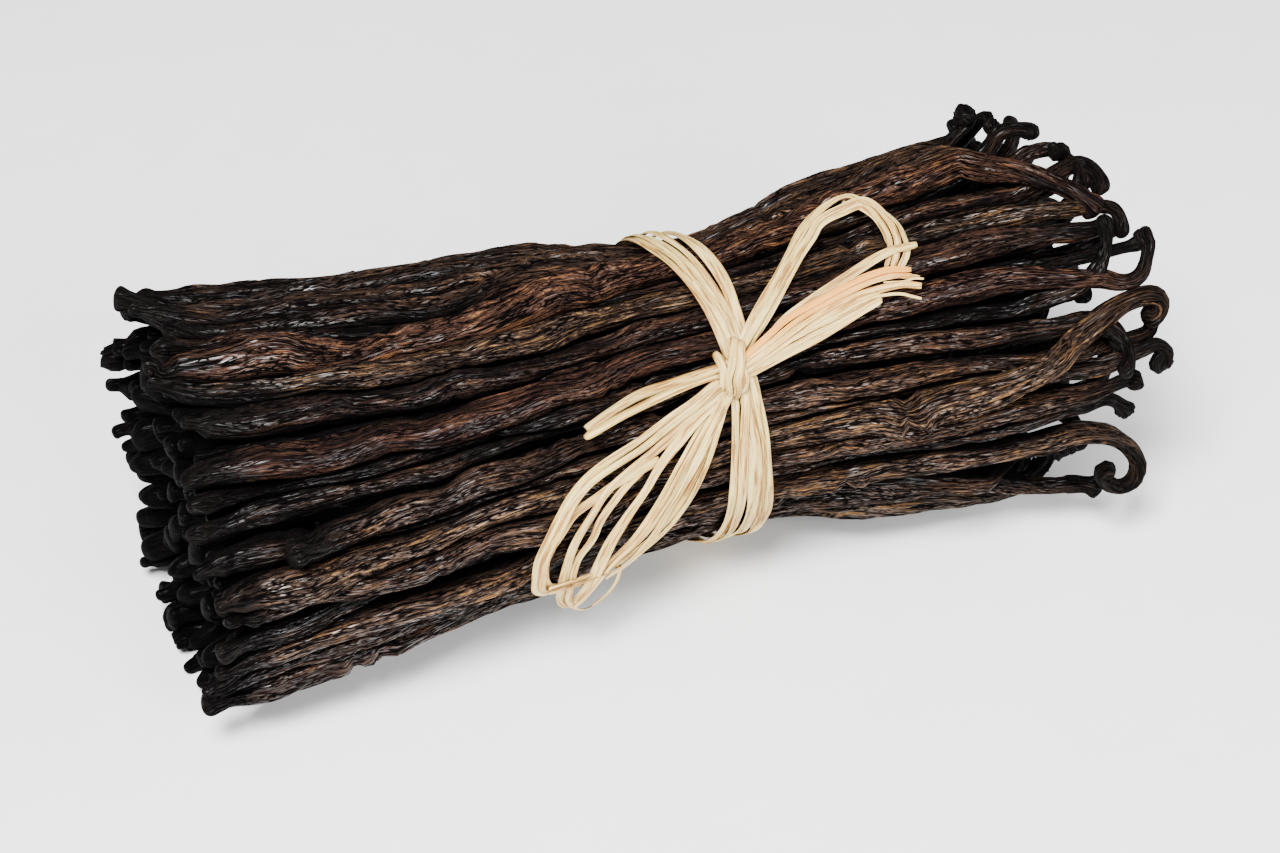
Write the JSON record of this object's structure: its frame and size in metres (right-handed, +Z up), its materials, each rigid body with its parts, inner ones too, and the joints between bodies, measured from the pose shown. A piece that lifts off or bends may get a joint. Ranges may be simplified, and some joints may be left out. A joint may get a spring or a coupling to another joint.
{
  "type": "bundle of vanilla pods",
  "caption": "Cured vanilla pods in a bundle, widening both ways from a raffia band tied in a bow; blunt tips at one end, hooked stem necks at the other.",
  "frame": {"origin": "centre of the bounding box's base, on the surface the bundle rests on", "axes": "+X along the pods from their blunt tips to their hooked necks, -Y out of the side with the bow, +Z up"},
  "size_m": [0.167, 0.0695, 0.0657],
  "materials": {
    "pod_skin": "oily, finely wrinkled",
    "raffia": "dry, finely ribbed"
  },
  "bodies": {
    "root": {"vanilla_pods": "pod_skin", "raffia_bow": "raffia"}
  },
  "joints": []
}
